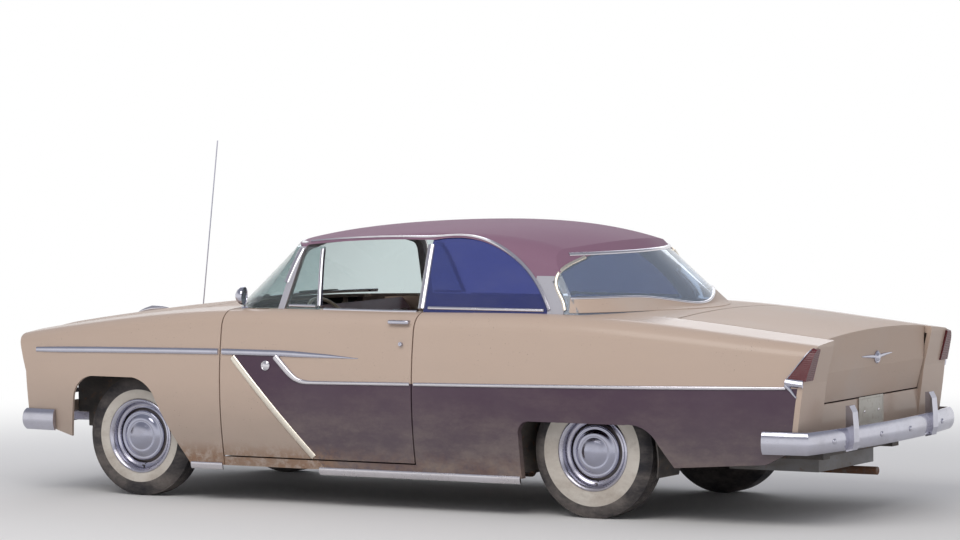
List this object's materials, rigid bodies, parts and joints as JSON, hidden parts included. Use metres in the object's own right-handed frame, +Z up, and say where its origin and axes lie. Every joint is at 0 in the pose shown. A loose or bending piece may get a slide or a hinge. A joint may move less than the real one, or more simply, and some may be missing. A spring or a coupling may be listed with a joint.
{
  "type": "two-door hardtop coupe car, 1950s",
  "caption": "Full-size 1950s two-door hardtop car with opening doors, hood and boot lid, steered front wheels and rolling tyres.",
  "frame": {"origin": "on the ground under the middle of the car's overall length and width", "axes": "+X forward, +Y to the car's left, +Z up"},
  "size_m": [5.177, 1.8906, 1.9755],
  "materials": {
    "body_paint": "aged gloss peach-beige enamel",
    "roof_paint": "faded maroon enamel",
    "chrome": "bright plated, lightly pitted",
    "glass": "clear slightly green safety glass",
    "tyre": "black rubber with wide white sidewall",
    "chassis_black": "satin black, dusty",
    "steel": "dull bare steel",
    "iron": "painted cast iron",
    "seat_vinyl": "pleated vinyl and cloth",
    "dash_paint": "painted steel dashboard",
    "lamp_red": "red lens",
    "lamp_clear": "fluted clear lens",
    "wheel_rubber": "ivory hard rubber steering wheel"
  },
  "bodies": {
    "body_shell": {"aerial": "chrome", "backlight_glass": "glass", "chassis_frame": "chassis_black", "cowl_panel": "body_paint", "dashboard": "dash_paint", "engine_block": "iron", "exhaust": "steel", "floor_and_firewall": "chassis_black", "front_bumper": "chrome", "front_fender_left": "body_paint", "front_fender_right": "body_paint", "front_seat": "seat_vinyl", "front_suspension": "chassis_black", "fuel_tank": "chassis_black", "gearbox": "iron", "grille": "chrome", "headlamps": "lamp_clear", "inner_fenders": "chassis_black", "leaf_springs": "chassis_black", "nose_panel": "body_paint", "propeller_shaft": "steel", "quarter_glass": "glass", "quarter_panel_left": "body_paint", "quarter_panel_right": "body_paint", "radiator": "chassis_black", "rear_axle": "chassis_black", "rear_bumper": "chrome", "rear_seat": "seat_vinyl", "rear_shelf_panel": "body_paint", "rocker_panels": "body_paint", "roof_panel": "roof_paint", "steering_column": "chassis_black", "tail_lamps": "lamp_red", "tail_panel": "body_paint", "wheelhouses": "chassis_black", "windscreen_glass": "glass"},
    "hood": {"hood": "body_paint"},
    "boot_lid": {"boot_lid": "body_paint"},
    "left_door": {"door_left": "body_paint", "vent_window_left": "glass"},
    "right_door": {"door_right": "body_paint", "vent_window_right": "glass"},
    "steering_wheel": {"steering_wheel": "wheel_rubber"},
    "left_knuckle": {"knuckle_left": "chassis_black"},
    "right_knuckle": {"knuckle_right": "chassis_black"},
    "front_left_wheel": {"tyre_front_left": "tyre", "wheel_front_left": "chrome"},
    "front_right_wheel": {"tyre_front_right": "tyre", "wheel_front_right": "chrome"},
    "rear_left_wheel": {"tyre_rear_left": "tyre", "wheel_rear_left": "chrome"},
    "rear_right_wheel": {"tyre_rear_right": "tyre", "wheel_rear_right": "chrome"}
  },
  "joints": [
    {"name": "steer_right", "type": "hinge", "parent": "body_shell", "child": "right_knuckle", "pos_m": [1.733, -0.6355, 0.34], "axis": [0, 0, 1], "range_deg": [-30, 30]},
    {"name": "steer_left", "type": "hinge", "parent": "body_shell", "child": "left_knuckle", "pos_m": [1.733, 0.6355, 0.34], "axis": [0, 0, 1], "range_deg": [-30, 30]},
    {"name": "steering_wheel_turn", "type": "hinge", "parent": "body_shell", "child": "steering_wheel", "pos_m": [0.72, 0.37, 0.925], "axis": [-0.8292, 0, 0.5589], "range_deg": [-600, 600]},
    {"name": "front_left_spin", "type": "hinge", "parent": "left_knuckle", "child": "front_left_wheel", "pos_m": [1.733, 0.7475, 0.34], "axis": [0, 1, 0], "continuous": true},
    {"name": "front_right_spin", "type": "hinge", "parent": "right_knuckle", "child": "front_right_wheel", "pos_m": [1.733, -0.7475, 0.34], "axis": [0, 1, 0], "continuous": true},
    {"name": "rear_left_spin", "type": "hinge", "parent": "body_shell", "child": "rear_left_wheel", "pos_m": [-1.188, 0.743, 0.356], "axis": [0, 1, 0], "continuous": true},
    {"name": "rear_right_spin", "type": "hinge", "parent": "body_shell", "child": "rear_right_wheel", "pos_m": [-1.188, -0.743, 0.356], "axis": [0, 1, 0], "continuous": true},
    {"name": "left_door_swing", "type": "hinge", "parent": "body_shell", "child": "left_door", "pos_m": [1.032, 0.923, 0.64], "axis": [0, 0, -1], "range_deg": [0, 65]},
    {"name": "right_door_swing", "type": "hinge", "parent": "body_shell", "child": "right_door", "pos_m": [1.032, -0.923, 0.64], "axis": [0, 0, 1], "range_deg": [0, 65]},
    {"name": "hood_lift", "type": "hinge", "parent": "body_shell", "child": "hood", "pos_m": [1.232, 0, 1.02], "axis": [0, -1, 0], "range_deg": [0, 48]},
    {"name": "boot_lift", "type": "hinge", "parent": "body_shell", "child": "boot_lid", "pos_m": [-1.42, 0, 1.044], "axis": [0, 1, 0], "range_deg": [0, 55]}
  ],
  "couplings": [
    {"joint": "steer_left", "follows": "steer_right", "ratio": 1},
    {"joint": "steering_wheel_turn", "follows": "steer_right", "ratio": 20}
  ]
}
